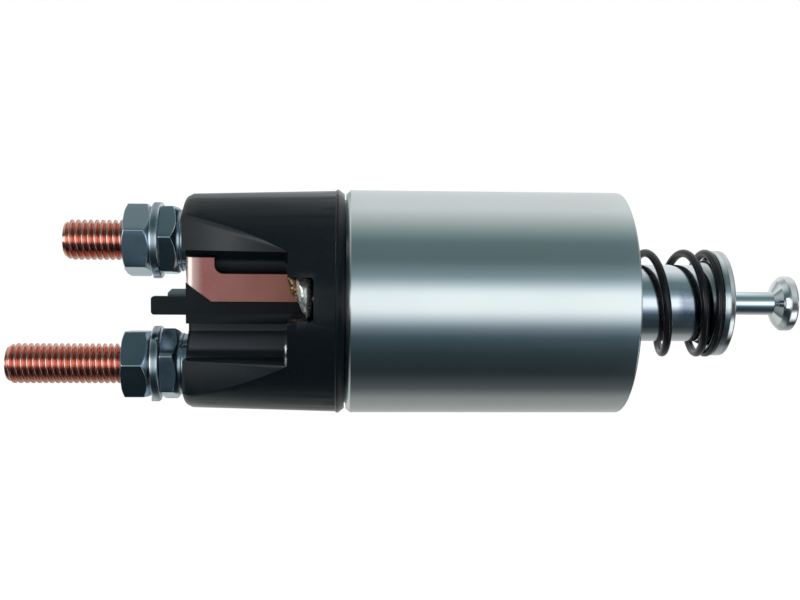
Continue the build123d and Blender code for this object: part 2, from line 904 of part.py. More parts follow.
# Retaining clip in the shaft's groove
with BuildPart() as retaining_clip:
    with BuildSketch(axial_plane(x_clip)):
        Circle(clip_radius)
        Circle(shaft_radius - clip_groove_depth + seat_gap, mode=Mode.SUBTRACT)
    extrude(amount=clip_thickness)
save(retaining_clip, "retaining_clip")

# Copper contact disc and the insulating washer behind it, both free to slide on the bush
with BuildPart() as contact_disc:
    with BuildSketch(axial_plane(x_disc)):
        Circle(disc_radius)
        Circle(bush_radius + slide_gap, mode=Mode.SUBTRACT)
    extrude(amount=disc_thickness)
save(contact_disc, "contact_disc")

with BuildPart() as insulating_washer:
    with BuildSketch(axial_plane(x_disc_back)):
        Circle(back_washer_radius)
        Circle(bush_radius + slide_gap, mode=Mode.SUBTRACT)
    extrude(amount=back_washer_thickness)
save(insulating_washer, "insulating_washer")


def coil_spring(name, start, end, wire, coil_radius, turns):
    """Compression spring of even pitch that just fits between two faces."""
    length = end - start - wire
    with BuildPart() as piece:
        with BuildLine() as route:
            Helix(length / turns, length, coil_radius, center=(start + wire / 2, 0, 0), direction=(1, 0, 0))
        with BuildSketch(Plane(route.line @ 0, z_dir=route.line % 0)):
            Circle(wire / 2)
        sweep(is_frenet=True)
    save(piece, name)


coil_spring("drive_spring", x_neck_end, x_seat, drive_wire, drive_coil_radius, drive_turns)
coil_spring(
    "contact_spring",
    x_disc_back + back_washer_thickness,
    x_shaft_collar,
    contact_wire,
    contact_coil_radius,
    contact_turns,
)
coil_spring(
    "contact_return_spring",
    x_well,
    x_clip,
    small_return_wire,
    small_return_coil_radius,
    small_return_turns,
)

# Return spring: one closed turn on the case, the open turns, and one closed turn under the seat's flange
return_open_length = return_spring_length - return_wire - 2 * return_closed_pitch
return_open_pitch = return_open_length / return_active_turns
with BuildPart() as return_turns:
    for start, pitch, length in (
        (return_wire / 2, return_closed_pitch, return_closed_pitch),
        (return_wire / 2 + return_closed_pitch, return_open_pitch, return_open_length),
        (x_seat - return_wire / 2 - return_closed_pitch, return_closed_pitch, return_closed_pitch),
    ):
        with BuildLine() as turn_route:
            Helix(pitch, length, return_coil_radius, center=(start, 0, 0), direction=(1, 0, 0))
        with BuildSketch(Plane(turn_route.line @ 0, z_dir=turn_route.line % 0)):
            Circle(return_wire / 2)
        sweep(path=turn_route.line, is_frenet=True)
with BuildPart() as return_spring:
    add(return_turns.part, rotation=(return_start_angle, 0, 0))
save(return_spring, "return_spring")
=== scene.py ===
from math import pi, radians, sqrt, tan

import bmesh
import bpy
import numpy as np
from mathutils import Matrix, Vector


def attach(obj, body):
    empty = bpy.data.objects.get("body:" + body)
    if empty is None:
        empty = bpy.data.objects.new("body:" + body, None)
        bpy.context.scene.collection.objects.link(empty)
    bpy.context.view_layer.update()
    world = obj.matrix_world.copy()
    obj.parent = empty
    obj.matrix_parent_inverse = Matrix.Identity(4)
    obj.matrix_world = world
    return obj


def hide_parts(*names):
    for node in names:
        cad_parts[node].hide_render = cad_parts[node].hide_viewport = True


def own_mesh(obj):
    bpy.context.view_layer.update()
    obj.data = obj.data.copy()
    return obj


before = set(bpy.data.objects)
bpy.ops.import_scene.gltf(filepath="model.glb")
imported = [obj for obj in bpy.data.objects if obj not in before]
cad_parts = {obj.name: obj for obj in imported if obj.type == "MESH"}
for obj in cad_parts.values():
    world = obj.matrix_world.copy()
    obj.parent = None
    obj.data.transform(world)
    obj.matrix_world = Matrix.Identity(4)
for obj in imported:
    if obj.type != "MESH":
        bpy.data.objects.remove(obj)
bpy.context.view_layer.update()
mm = 0.001
print("frame loaded")


def newObject(name, data):
    # An object for a mesh, lamp or camera, at the origin of the scene.
    piece = bpy.data.objects.new(name, data)
    bpy.context.scene.collection.objects.link(piece)
    return piece


# camera
cameraView = {
    "spot": (-0.068011, -0.277131, 0.022794),
    "right": (0.99872, -0.04975, 0.00956),
    "up": (-0.0055, 0.08095, 0.9967),
    "back": (-0.05036, -0.99548, 0.08057),
    "focalLength": 50.22,
    "sensorWidth": 36.0,
    "nearest": 0.01,
}
cameraData = bpy.data.cameras.new("camera")
camera = newObject("camera", cameraData)
cameraData.lens = cameraView["focalLength"]
cameraData.sensor_width = cameraView["sensorWidth"]
cameraData.clip_start = cameraView["nearest"]
cameraTurn = Matrix((cameraView["right"], cameraView["up"], cameraView["back"])).transposed()
camera.matrix_world = Matrix.Translation(cameraView["spot"]) @ cameraTurn.to_4x4()
bpy.context.scene.camera = camera
bpy.context.scene.view_settings.view_transform = "Standard"

# meshes: lengths in metres within which points join and edges count as slivers, angles in degrees
meshCare = {"joinWithin": 2e-6, "sliver": 1e-7, "flatWithin": 0.6, "sharpAngle": 35.0}


def cleanPiece(name, rough, sharpAngle, joinFlats=False):
    # A clean piece from a rough mesh: joins points that meet, drops slivers, joins flat triangles to whole
    # faces where asked, turns faces outwards, and keeps edges above the sharp angle crisp.
    shape = bmesh.new()
    shape.from_mesh(rough)
    bmesh.ops.remove_doubles(shape, verts=shape.verts, dist=meshCare["joinWithin"])
    bmesh.ops.dissolve_degenerate(shape, edges=shape.edges, dist=meshCare["sliver"])
    if joinFlats:
        flat = radians(meshCare["flatWithin"])
        bmesh.ops.dissolve_limit(shape, angle_limit=flat, verts=shape.verts, edges=shape.edges)
    bmesh.ops.recalc_face_normals(shape, faces=shape.faces)
    if shape.calc_volume(signed=True) < 0:
        bmesh.ops.reverse_faces(shape, faces=shape.faces)
    mesh = bpy.data.meshes.new(name)
    shape.to_mesh(mesh)
    shape.free()
    mesh.shade_smooth()
    mesh.set_sharp_from_angle(angle=radians(sharpAngle))
    return newObject(name, mesh)


def keepMesh(name, points, faces, sharpAngle=meshCare["sharpAngle"]):
    # A piece from an array of points in millimetres and an array of faces.
    rough = bpy.data.meshes.new(name + "Rough")
    rough.from_pydata((points * mm).tolist(), [], faces.tolist())
    piece = cleanPiece(name, rough, sharpAngle)
    bpy.data.meshes.remove(rough)
    return piece


def gridFaces(rows, columns, closeRows=False, closeColumns=True):
    # Four-cornered faces between neighbours of a grid of points, row by row.
    rowCount = rows if closeRows else rows - 1
    columnCount = columns if closeColumns else columns - 1
    row, column = np.meshgrid(np.arange(rowCount), np.arange(columnCount), indexing="ij")
    nextRow, nextColumn = (row + 1) % rows, (column + 1) % columns
    corners = [row * columns + column, row * columns + nextColumn,
               nextRow * columns + nextColumn, nextRow * columns + column]
    return np.stack(corners, axis=-1).reshape(-1, 4)


def roundedLine(corners, steps=5):
    # A line through corners (x, r, rounding), each corner replaced by an arc that touches both of its sides.
    spots = np.array([corner[:2] for corner in corners], float)
    line = []
    for number, (x, r, rounding) in enumerate(corners):
        before, after = spots[number - 1], spots[(number + 1) % len(spots)]
        if rounding <= 0:
            line.append((x, r))
            continue
        here = spots[number]
        inward = (before - here) / np.linalg.norm(before - here)
        onward = (after - here) / np.linalg.norm(after - here)
        halfTurn = np.arccos(np.clip(inward @ onward, -1, 1)) / 2
        reach = rounding / np.tan(halfTurn)
        middle = here + (inward + onward) / np.linalg.norm(inward + onward) * rounding / np.sin(halfTurn)
        first, last = here + inward * reach - middle, here + onward * reach - middle
        sweep = np.arctan2(first[0] * last[1] - first[1] * last[0], first @ last)
        turn = np.linspace(0, sweep, steps)
        arcX = middle[0] + first[0] * np.cos(turn) - first[1] * np.sin(turn)
        arcR = middle[1] + first[0] * np.sin(turn) + first[1] * np.cos(turn)
        line.extend(zip(arcX, arcR))
    return np.array(line)


def turnedPiece(name, corners, height=0.0, columns=128, ringShaped=False):
    # A turned piece: each point of the rounded line goes round an axis along X at the given height.
    line = roundedLine(corners)
    angle = np.linspace(0, 2 * np.pi, columns, endpoint=False)
    x = np.repeat(line[:, :1], columns, axis=1)
    y = line[:, 1:] * np.cos(angle)
    z = line[:, 1:] * np.sin(angle) + height
    points = np.stack([x, y, z], axis=-1).reshape(-1, 3)
    return keepMesh(name, points, gridFaces(len(line), columns, closeRows=ringShaped))


def roundEdges(piece, width, limit, segments=2):
    # Rounds a piece's crisp edges by a few tenths of a millimetre, so that they catch the light.
    edge = piece.modifiers.new("edge", "BEVEL")
    edge.width = width * mm
    edge.segments = segments
    edge.limit_method = "ANGLE"
    edge.angle_limit = radians(limit)
    edge.harden_normals = True
    edge.use_clamp_overlap = True


def place(piece, body, node, material):
    # Hangs a piece on its body, in place of its node, with its finish.
    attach(piece, body)
    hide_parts(node)
    piece.data.materials.clear()
    piece.data.materials.append(material)
    return piece


# shared effects
def newGroup(name, inputs, outputs):
    # An empty node group with named inputs (name, value), all numbers, and outputs (name, kind).
    group = bpy.data.node_groups.new(name, "ShaderNodeTree")
    for label, value in inputs:
        socket = group.interface.new_socket(label, in_out="INPUT", socket_type="NodeSocketFloat")
        socket.default_value = value
    for label, kind in outputs:
        group.interface.new_socket(label, in_out="OUTPUT", socket_type="NodeSocket" + kind)
    return group, group.nodes.new("NodeGroupInput"), group.nodes.new("NodeGroupOutput")


def addNode(tree, kind, inputs=(), **settings):
    # A node of a kind with its settings, and with values for its inputs by their name or number.
    node = tree.nodes.new("ShaderNode" + kind)
    for label, value in settings.items():
        setattr(node, label, value)
    for label, value in dict(inputs).items():
        node.inputs[label].default_value = value
    return node


def joinNodes(tree, *pairs):
    # Links each pair: an output's socket to an input's socket.
    for start, end in pairs:
        tree.links.new(start, end)


def buildTurnedMarks():
    # Fine rings of a turned or drawn surface: noise of the place along the axis alone, used as a bump.
    group, given, result = newGroup(
        "turnedMarks", [("Rings per metre", 2600.0), ("Depth", 0.2)],
        [("Value", "Float"), ("Normal", "Vector")])
    here = addNode(group, "TexCoord")
    apart = addNode(group, "SeparateXYZ")
    along = addNode(group, "Math", operation="MULTIPLY")
    rings = addNode(group, "TexNoise", {"Scale": 1.0, "Detail": 3.0}, noise_dimensions="1D")
    bump = addNode(group, "Bump", {"Distance": 0.00002})
    joinNodes(
        group,
        (here.outputs["Object"], apart.inputs[0]),
        (apart.outputs["X"], along.inputs[0]),
        (given.outputs["Rings per metre"], along.inputs[1]),
        (along.outputs[0], rings.inputs["W"]),
        (rings.outputs["Fac"], bump.inputs["Height"]),
        (given.outputs["Depth"], bump.inputs["Strength"]),
        (rings.outputs["Fac"], result.inputs["Value"]),
        (bump.outputs["Normal"], result.inputs["Normal"]),
    )
    return group


def buildGrainySkin():
    # A moulded, plated or oxidised skin: fine noise in all directions, used as a bump.
    group, given, result = newGroup(
        "grainySkin", [("Grain scale", 2500.0), ("Depth", 0.15)],
        [("Value", "Float"), ("Normal", "Vector")])
    here = addNode(group, "TexCoord")
    grain = addNode(group, "TexNoise", {"Detail": 5.0, "Roughness": 0.6})
    bump = addNode(group, "Bump", {"Distance": 0.00004})
    joinNodes(
        group,
        (here.outputs["Object"], grain.inputs["Vector"]),
        (given.outputs["Grain scale"], grain.inputs["Scale"]),
        (grain.outputs["Fac"], bump.inputs["Height"]),
        (given.outputs["Depth"], bump.inputs["Strength"]),
        (grain.outputs["Fac"], result.inputs["Value"]),
        (bump.outputs["Normal"], result.inputs["Normal"]),
    )
    return group


def buildHandledMarks():
    # Marks of a handled finish: soft clouds are slow noise, small specks fine noise cut by a soft step.
    group, given, result = newGroup(
        "handledMarks", [("Cloud scale", 70.0), ("Speck scale", 1400.0)],
        [("Clouds", "Float"), ("Specks", "Float")])
    here = addNode(group, "TexCoord")
    clouds = addNode(group, "TexNoise", {"Detail": 4.0, "Roughness": 0.6})
    specks = addNode(group, "TexNoise", {"Detail": 2.0})
    cut = addNode(group, "MapRange", {"From Min": 0.60, "From Max": 0.72}, interpolation_type="SMOOTHSTEP")
    joinNodes(
        group,
        (here.outputs["Object"], clouds.inputs["Vector"]),
        (here.outputs["Object"], specks.inputs["Vector"]),
        (given.outputs["Cloud scale"], clouds.inputs["Scale"]),
        (given.outputs["Speck scale"], specks.inputs["Scale"]),
        (specks.outputs["Fac"], cut.inputs["Value"]),
        (clouds.outputs["Fac"], result.inputs["Clouds"]),
        (cut.outputs["Result"], result.inputs["Specks"]),
    )
    return group


effects = {"turned": buildTurnedMarks(), "handled": buildHandledMarks(), "skin": buildGrainySkin()}
print("shared effects built")

# what a look holds where it doesn't say otherwise
plainLook = {
    "metallic": 1.0, "specular": 0.5, "coat": 0.0, "coatRoughness": 0.1, "cloudScale": 70.0,
    "cloudSpan": (0.3, 0.7), "speckScale": 1400.0, "speckAmount": 0.15, "grain": 2500.0, "depth": 0.15,
}


def finishOf(name, look):
    # A finish: two near colours mixed by soft clouds, specks of a third, roughness that follows the clouds,
    # and turning rings or a grainy skin as a bump.
    look = {**plainLook, "speckColour": look["otherColour"], **look}
    material = bpy.data.materials.new(name)
    material.use_nodes = True
    tree = material.node_tree
    shader = tree.nodes["Principled BSDF"]
    shader.inputs["Metallic"].default_value = look["metallic"]
    shader.inputs["Specular IOR Level"].default_value = look["specular"]
    shader.inputs["Coat Weight"].default_value = look["coat"]
    shader.inputs["Coat Roughness"].default_value = look["coatRoughness"]
    handled = addNode(tree, "Group", node_tree=effects["handled"])
    handled.inputs["Cloud scale"].default_value = look["cloudScale"]
    handled.inputs["Speck scale"].default_value = look["speckScale"]
    base = addNode(tree, "Mix", {"A": look["colour"], "B": look["otherColour"]}, data_type="RGBA")
    speckShare = addNode(tree, "Math", {1: look["speckAmount"]}, operation="MULTIPLY")
    specked = addNode(tree, "Mix", {"B": look["speckColour"]}, data_type="RGBA")
    polish = addNode(tree, "MapRange", {
        "From Min": look["cloudSpan"][0], "From Max": look["cloudSpan"][1],
        "To Min": look["roughness"][0], "To Max": look["roughness"][1],
    })
    if "rings" in look:
        marks = addNode(tree, "Group", node_tree=effects["turned"])
        marks.inputs["Rings per metre"].default_value = look["rings"]
    else:
        marks = addNode(tree, "Group", node_tree=effects["skin"])
        marks.inputs["Grain scale"].default_value = look["grain"]
    marks.inputs["Depth"].default_value = look["depth"]
    joinNodes(
        tree,
        (handled.outputs["Clouds"], base.inputs["Factor"]),
        (base.outputs["Result"], specked.inputs["A"]),
        (handled.outputs["Specks"], speckShare.inputs[0]),
        (speckShare.outputs[0], specked.inputs["Factor"]),
        (specked.outputs["Result"], shader.inputs["Base Color"]),
        (handled.outputs["Clouds"], polish.inputs["Value"]),
        (polish.outputs["Result"], shader.inputs["Roughness"]),
        (marks.outputs["Normal"], shader.inputs["Normal"]),
    )
    return material


def zonedFinish(name, look, *zones):
    # A finish with other colours in parts of space. Each bound (axis, from, to) of a zone gives nought to one
    # along that axis, or along a value stored on the mesh, moved by noise where the edge is ragged; their
    # product is the share of the zone's colour.
    material = finishOf(name, look)
    tree = material.node_tree
    shader = tree.nodes["Principled BSDF"]
    colour = shader.inputs["Base Color"].links[0].from_socket
    here = addNode(tree, "TexCoord")
    apart = addNode(tree, "SeparateXYZ")
    tree.links.new(here.outputs["Object"], apart.inputs[0])
    for zone in zones:
        noise = addNode(tree, "TexNoise", {"Scale": zone.get("scale", 900.0)})
        tree.links.new(here.outputs["Object"], noise.inputs["Vector"])
        share = None
        for axis, start, end in zone["bounds"]:
            shift = addNode(tree, "Math", {1: zone.get("ragged", 0.0)}, operation="MULTIPLY_ADD")
            cut = addNode(tree, "MapRange", {"From Min": start, "From Max": end},
                          interpolation_type="SMOOTHSTEP")
            if axis in "XYZ":
                value = apart.outputs[axis]
            else:
                value = addNode(tree, "Attribute", attribute_name=axis).outputs["Fac"]
            joinNodes(
                tree,
                (noise.outputs["Fac"], shift.inputs[0]),
                (value, shift.inputs[2]),
                (shift.outputs[0], cut.inputs["Value"]),
            )
            if share is None:
                share = cut.outputs["Result"]
            else:
                both = addNode(tree, "Math", operation="MULTIPLY")
                joinNodes(tree, (share, both.inputs[0]), (cut.outputs["Result"], both.inputs[1]))
                share = both.outputs[0]
        mixed = addNode(tree, "Mix", {"B": zone["colour"]}, data_type="RGBA")
        joinNodes(tree, (share, mixed.inputs["Factor"]), (colour, mixed.inputs["A"]))
        colour = mixed.outputs["Result"]
    tree.links.new(colour, shader.inputs["Base Color"])
    return material


def windingFinish(name, look):
    # Enamelled wire laid turn beside turn: a sine wave along the axis as a bump, one ridge for each turn.
    material = finishOf(name, look)
    tree = material.node_tree
    here = addNode(tree, "TexCoord")
    # a band texture has twenty radians to the unit at scale one
    turns = addNode(tree, "TexWave", {"Scale": look["turnsPerMetre"] * pi / 10, "Distortion": 0.0},
                    wave_type="BANDS", bands_direction="X", wave_profile="SIN")
    bump = addNode(tree, "Bump", {"Distance": look["ridge"]})
    joinNodes(
        tree,
        (here.outputs["Object"], turns.inputs["Vector"]),
        (turns.outputs["Fac"], bump.inputs["Height"]),
        (bump.outputs["Normal"], tree.nodes["Principled BSDF"].inputs["Normal"]),
    )
    return material


looks = {
    "case": {
        "colour": (0.79, 0.81, 0.81, 1), "otherColour": (0.74, 0.77, 0.78, 1), "roughness": (0.13, 0.19),
        "rings": 1500.0, "depth": 0.10, "cloudScale": 35.0, "speckAmount": 0.05,
    },
    "plunger": {
        "colour": (0.86, 0.88, 0.92, 1), "otherColour": (0.74, 0.78, 0.84, 1), "roughness": (0.08, 0.17),
        "rings": 4000.0, "cloudScale": 120.0,
    },
    "seat": {
        "colour": (0.78, 0.81, 0.82, 1), "otherColour": (0.64, 0.68, 0.70, 1), "roughness": (0.04, 0.09),
        "rings": 4000.0, "depth": 0.12, "cloudScale": 120.0,
    },
    "rod": {
        "colour": (0.90, 0.93, 0.95, 1), "otherColour": (0.80, 0.85, 0.88, 1), "roughness": (0.04, 0.08),
        "rings": 5000.0, "depth": 0.12, "cloudScale": 160.0,
    },
    "iron": {
        "colour": (0.45, 0.46, 0.48, 1), "otherColour": (0.36, 0.37, 0.40, 1), "roughness": (0.3, 0.45),
        "rings": 3000.0, "depth": 0.3,
    },
    "zinc": {
        "colour": (0.54, 0.65, 0.73, 1), "otherColour": (0.43, 0.54, 0.63, 1), "roughness": (0.13, 0.24),
        "grain": 3000.0, "depth": 0.12, "cloudScale": 160.0, "speckColour": (0.70, 0.78, 0.84, 1),
        "speckAmount": 0.1,
    },
    "washer": {
        "colour": (0.64, 0.70, 0.74, 1), "otherColour": (0.48, 0.55, 0.62, 1), "roughness": (0.12, 0.22),
        "grain": 3000.0, "cloudScale": 180.0,
    },
    "clip": {
        "colour": (0.55, 0.57, 0.60, 1), "otherColour": (0.45, 0.47, 0.5, 1), "roughness": (0.25, 0.35),
        "grain": 3000.0, "depth": 0.2,
    },
    "copper": {
        "colour": (0.93, 0.50, 0.41, 1), "otherColour": (0.82, 0.37, 0.29, 1), "roughness": (0.12, 0.22),
        "grain": 3000.0, "cloudScale": 160.0, "speckColour": (0.98, 0.66, 0.54, 1), "speckAmount": 0.08,
    },
    "strap": {
        "colour": (0.48, 0.20, 0.185, 1), "otherColour": (0.39, 0.145, 0.135, 1), "roughness": (0.32, 0.42),
        "grain": 2600.0, "depth": 0.2, "cloudScale": 130.0, "speckColour": (0.66, 0.36, 0.31, 1),
    },
    "blade": {
        "colour": (0.17, 0.20, 0.21, 1), "otherColour": (0.11, 0.14, 0.15, 1), "roughness": (0.3, 0.42),
        "grain": 2600.0, "depth": 0.2,
    },
    "solder": {
        "colour": (0.74, 0.75, 0.72, 1), "otherColour": (0.52, 0.52, 0.49, 1), "roughness": (0.18, 0.34),
        "metallic": 0.88, "grain": 1500.0, "depth": 0.32, "cloudScale": 420.0, "speckScale": 2600.0,
        "speckColour": (0.10, 0.08, 0.05, 1), "speckAmount": 0.4,
    },
    "brass": {
        "colour": (0.80, 0.62, 0.30, 1), "otherColour": (0.70, 0.52, 0.24, 1), "roughness": (0.2, 0.35),
        "rings": 3500.0, "depth": 0.2,
    },
    "spring": {
        "metallic": 0.0, "colour": (0.0020, 0.0028, 0.0038, 1), "otherColour": (0.0050, 0.0060, 0.0072, 1),
        "roughness": (0.16, 0.28), "grain": 2200.0, "depth": 0.4, "cloudScale": 200.0,
        "speckColour": (0.03, 0.028, 0.026, 1), "speckAmount": 0.12, "specular": 0.45,
    },
    "moulding": {
        "metallic": 0.0, "colour": (0.0028, 0.0052, 0.0074, 1), "otherColour": (0.0046, 0.0080, 0.0108, 1),
        "roughness": (0.16, 0.22), "grain": 1500.0, "cloudScale": 60.0, "specular": 0.22,
        "speckColour": (0.03, 0.035, 0.04, 1), "speckAmount": 0.10, "speckScale": 1900.0,
    },
    "fibre": {
        "metallic": 0.0, "colour": (0.16, 0.07, 0.035, 1), "otherColour": (0.11, 0.05, 0.03, 1),
        "roughness": (0.4, 0.55), "grain": 2200.0, "depth": 0.4,
    },
    "rubber": {
        "metallic": 0.0, "colour": (0.014, 0.014, 0.015, 1), "otherColour": (0.024, 0.024, 0.025, 1),
        "roughness": (0.6, 0.75), "grain": 1800.0, "depth": 0.5,
    },
    "wire": {
        "metallic": 0.85, "colour": (0.55, 0.20, 0.09, 1), "otherColour": (0.42, 0.14, 0.06, 1),
        "roughness": (0.2, 0.3), "turnsPerMetre": 1100.0, "ridge": 0.0002, "coat": 0.6,
    },
}
# where a finish changes over a piece: brown flux on the solder's left edge, the coil's lead tinned beyond
# the wall, the strap darker towards its soldered end with a painted highlight at its bend, painted light
# that lightens the cap's channel, painted shade in the thread grooves, and painted shade on the plunger's
# near side and on the hub's lower half beside the spring
zones = {
    "flux": {"colour": (0.20, 0.125, 0.065, 1), "bounds": [("X", -0.0782, -0.0788)], "ragged": 0.0005},
    "tinned": {"colour": (0.62, 0.62, 0.60, 1), "bounds": [("X", -0.0735, -0.0745)], "ragged": 0.0003},
    # the strap grows darker towards its soldered end
    "burnt": {
        "colour": (0.27, 0.115, 0.085, 1), "bounds": [("X", -0.102, -0.074)], "ragged": 0.0015,
        "scale": 300.0,
    },
    # painted highlight: the strap's bend at its left end is painted nearly white, as if catching the light
    "bend": {"colour": (0.97, 0.71, 0.64, 1), "bounds": [("X", -0.1012, -0.1050)], "ragged": 0.0003},
    # painted light: cap surfaces lying about 2 to 8 mm behind its front, its channel floors among them, are
    # painted much lighter than the moulding, standing in for light that does not reach them
    "channel": {
        "colour": (0.042, 0.049, 0.056, 1),
        "bounds": [("Y", -0.0084, -0.0078), ("Y", 0.0, -0.002), ("X", -0.1056, -0.1050)],
    },
    # painted shade: by their stored depth, the thread grooves are painted darker and redder than the crests
    "groove": {
        "colour": (0.74, 0.29, 0.22, 1), "bounds": [("groove", 0.25, 0.95)], "ragged": 0.15, "scale": 1200.0,
    },
    # painted shade: a darker blue-grey band on the plunger's near side, towards the spring seat
    "rubbed": {
        "colour": (0.34, 0.37, 0.45, 1), "bounds": [("X", 0.0136, 0.0156), ("Y", -0.0078, -0.0092)],
        "ragged": 0.0012, "scale": 700.0,
    },
    # painted shade: the lower half of the seat's hub, under the spring, is painted nearly black
    "hub": {
        "colour": (0.05, 0.055, 0.075, 1), "bounds": [("X", 0.0242, 0.0238), ("Z", 0.0045, 0.0005)],
        "ragged": 0.0004, "scale": 700.0,
    },
}
# the finish for each node, and for the zoned ones the look and the zones on it
nodeFinishes = {
    "case": "case", "terminal_cap": "moulding", "long_stud": "threadedCopper", "short_stud": "threadedCopper",
    "terminal_strap": "strap", "solder_joint": "fluxedSolder", "blade_terminal": "blade",
    "return_spring": "spring", "plunger": "plunger", "spring_seat": "seat", "pull_rod": "rod",
    "guide_sleeve": "brass", "coil_bobbin": "fibre", "pull_in_winding": "wire", "hold_in_winding": "wire",
    "core_plate": "iron", "stationary_pole": "iron", "cap_gasket": "rubber", "motor_lead": "tinnedLead",
    "switch_lead": "wire", "contact_shaft": "iron", "insulating_bush": "fibre", "insulating_washer": "fibre",
    "retaining_clip": "clip", "contact_disc": "copper", "contact_spring": "clip",
    "contact_return_spring": "clip", "drive_spring": "clip", "rod_retainer": "iron",
}
for side in ("lower", "upper"):
    nodeFinishes.update({f"{side}_{part}": "zinc" for part in ("stud_collar", "jam_nut", "terminal_nut")})
    nodeFinishes.update({f"{side}_{part}": "washer" for part in ("plain_washer", "spring_washer")})
zonedFinishes = {
    "fluxedSolder": ("solder", "flux"), "tinnedLead": ("wire", "tinned"), "strap": ("strap", "burnt", "bend"),
    "moulding": ("moulding", "channel"), "threadedCopper": ("copper", "groove"),
    "plunger": ("plunger", "rubbed"), "seat": ("seat", "hub"),
}
finishes = {"wire": windingFinish("wireFinish", looks["wire"])}
for name, (look, *used) in zonedFinishes.items():
    finishes[name] = zonedFinish(name + "Zoned", looks[look], *(zones[zone] for zone in used))
for node, finish in nodeFinishes.items():
    if finish not in finishes:
        finishes[finish] = finishOf(finish + "Finish", looks[finish])
    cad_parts[node].data.materials.clear()
    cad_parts[node].data.materials.append(finishes[finish])
print("finishes on", len(nodeFinishes), "nodes")

# studs
# thread: from the crest's half width to the groove's edge, in shares of the pitch, the radius falls to the
# root; the flank is part straight and part eased
thread = {
    "pitch": 1.5, "crest": 4.92, "root": 4.02, "halfCrest": 0.125, "grooveEdge": 0.4375, "eased": 0.35,
    "columns": 96, "rowsPerTurn": 12,
}
studSizes = {
    "headFace": -69.85, "headBack": -73.0, "headRadius": 7.0, "headEdge": 0.4, "threadStart": -117.5,
    "neck": 0.6, "tipLength": 1.4, "tipDrop": 0.8, "sharpAngle": 50.0,
}
studs = {
    "longStud": {"node": "long_stud", "height": -15.75, "tip": -150.25},
    "shortStud": {"node": "short_stud", "height": 14.75, "tip": -135.9},
}


def threadedStud(name, height, tip):
    # Stud: a line for head and shank goes round the axis, then rows that follow the thread's helix, cut off
    # at both ends by clamping their x, so the thread runs out cleanly in the tip's cone. How deep each point
    # lies in the thread is stored for the finish, which paints shade into the grooves with it.
    pitch, crest, root, start = thread["pitch"], thread["crest"], thread["root"], studSizes["threadStart"]
    turns = np.linspace(0, 1, thread["columns"] + 1)
    angle = 2 * np.pi * turns
    face, back, head, edge = (studSizes[key] for key in ("headFace", "headBack", "headRadius", "headEdge"))
    headLine = roundedLine([
        (face, 0, 0), (face, head, edge), (back, head, edge), (back, crest, 0),
        (start + studSizes["neck"], crest, 0), (start, root, 0),
    ])
    headX = np.repeat(headLine[:, :1], len(angle), axis=1)
    headR = np.repeat(headLine[:, 1:], len(angle), axis=1)
    # two turns more than the length needs are cut off by the clamp
    rowCount = int(((start - tip) / pitch + 2) * thread["rowsPerTurn"])
    along = pitch * (np.arange(rowCount) / thread["rowsPerTurn"])[:, None] - pitch * turns
    x = np.clip(start - along, tip, start)
    phase = np.mod((start - x) / pitch + turns, 1.0)
    fromCrest = np.abs(phase - 0.5)
    slope = np.clip((thread["grooveEdge"] - fromCrest) / (thread["grooveEdge"] - thread["halfCrest"]), 0, 1)
    slope = slope * slope * (3 - 2 * slope) * thread["eased"] + slope * (1 - thread["eased"])
    r = root + (crest - root) * slope
    cone = crest - studSizes["tipDrop"] * (1 - (x - tip) / studSizes["tipLength"])
    r = np.where(x >= start, root, np.minimum(r, cone))
    # a ring at half the radius and a point close the tip
    x = np.concatenate([headX, x, np.full((2, len(angle)), tip)])
    r = np.concatenate([headR, r, np.stack([r[-1] * 0.5, r[-1] * 0.0])])
    points = np.stack([x, r * np.cos(angle), r * np.sin(angle) + height], axis=-1).reshape(-1, 3)
    stud = keepMesh(name, points, gridFaces(len(x), len(angle), closeColumns=False), studSizes["sharpAngle"])
    spots = np.empty(len(stud.data.vertices) * 3, np.float32)
    stud.data.vertices.foreach_get("co", spots)
    spots = spots.reshape(-1, 3) / mm
    radius = np.hypot(spots[:, 1], spots[:, 2] - height)
    groove = np.clip((crest - radius) / (crest - root), 0, 1)
    groove = groove * (spots[:, 0] < start) * (spots[:, 0] > tip + studSizes["tipLength"])
    stored = stud.data.attributes.new("groove", "FLOAT", "POINT")
    stored.data.foreach_set("value", groove.astype(np.float32))
    return stud


for name, stud in studs.items():
    piece = threadedStud(name, stud["height"], stud["tip"])
    place(piece, "housing", stud["node"], finishes["threadedCopper"])
print("studs threaded")

# nuts and washers
nutShape = {
    "flats": 16.0, "cornerRadius": 0.55, "bore": 4.75, "countersink": 5.35, "mouth": 0.6,
    "bearingRadius": 7.65, "bearingCone": 1.3, "chamferAngle": 30.0, "flatSteps": 8, "cornerSteps": 6,
    "edge": 0.16, "edgeSteps": 3, "sharpAngle": 24.0,
}
washerShape = {
    "outer": 9.35, "wall": 4.0, "thickness": 2.0, "turn": 0.965, "startAngle": 168.0, "rounding": 0.28,
    "roundingSteps": 4, "steps": 96, "sharpAngle": 40.0,
}
# what stands on each stud, from the cap outwards: place of the outer face and thickness, radius or chamfer
stack = {
    "collar": (-107.3, 1.5, 7.4), "washer": (-108.1, 0.8, 7.6), "boreRadius": 4.97, "innerEdge": 0.15,
    "outerEdge": 0.22, "jamNut": (-112.4, 4.3, 0.45), "nutThickness": 6.5, "nutChamfer": 1.05, "columns": 96,
}
# how high each stud stands, how far its spring washer is open, and how its nuts are turned, in degrees
sides = {
    "upper": {"height": 14.75, "space": 2.15, "jamAngle": 6.9, "nutAngle": 17.5},
    "lower": {"height": -15.75, "space": 2.85, "jamAngle": 18.7, "nutAngle": 4.0},
}


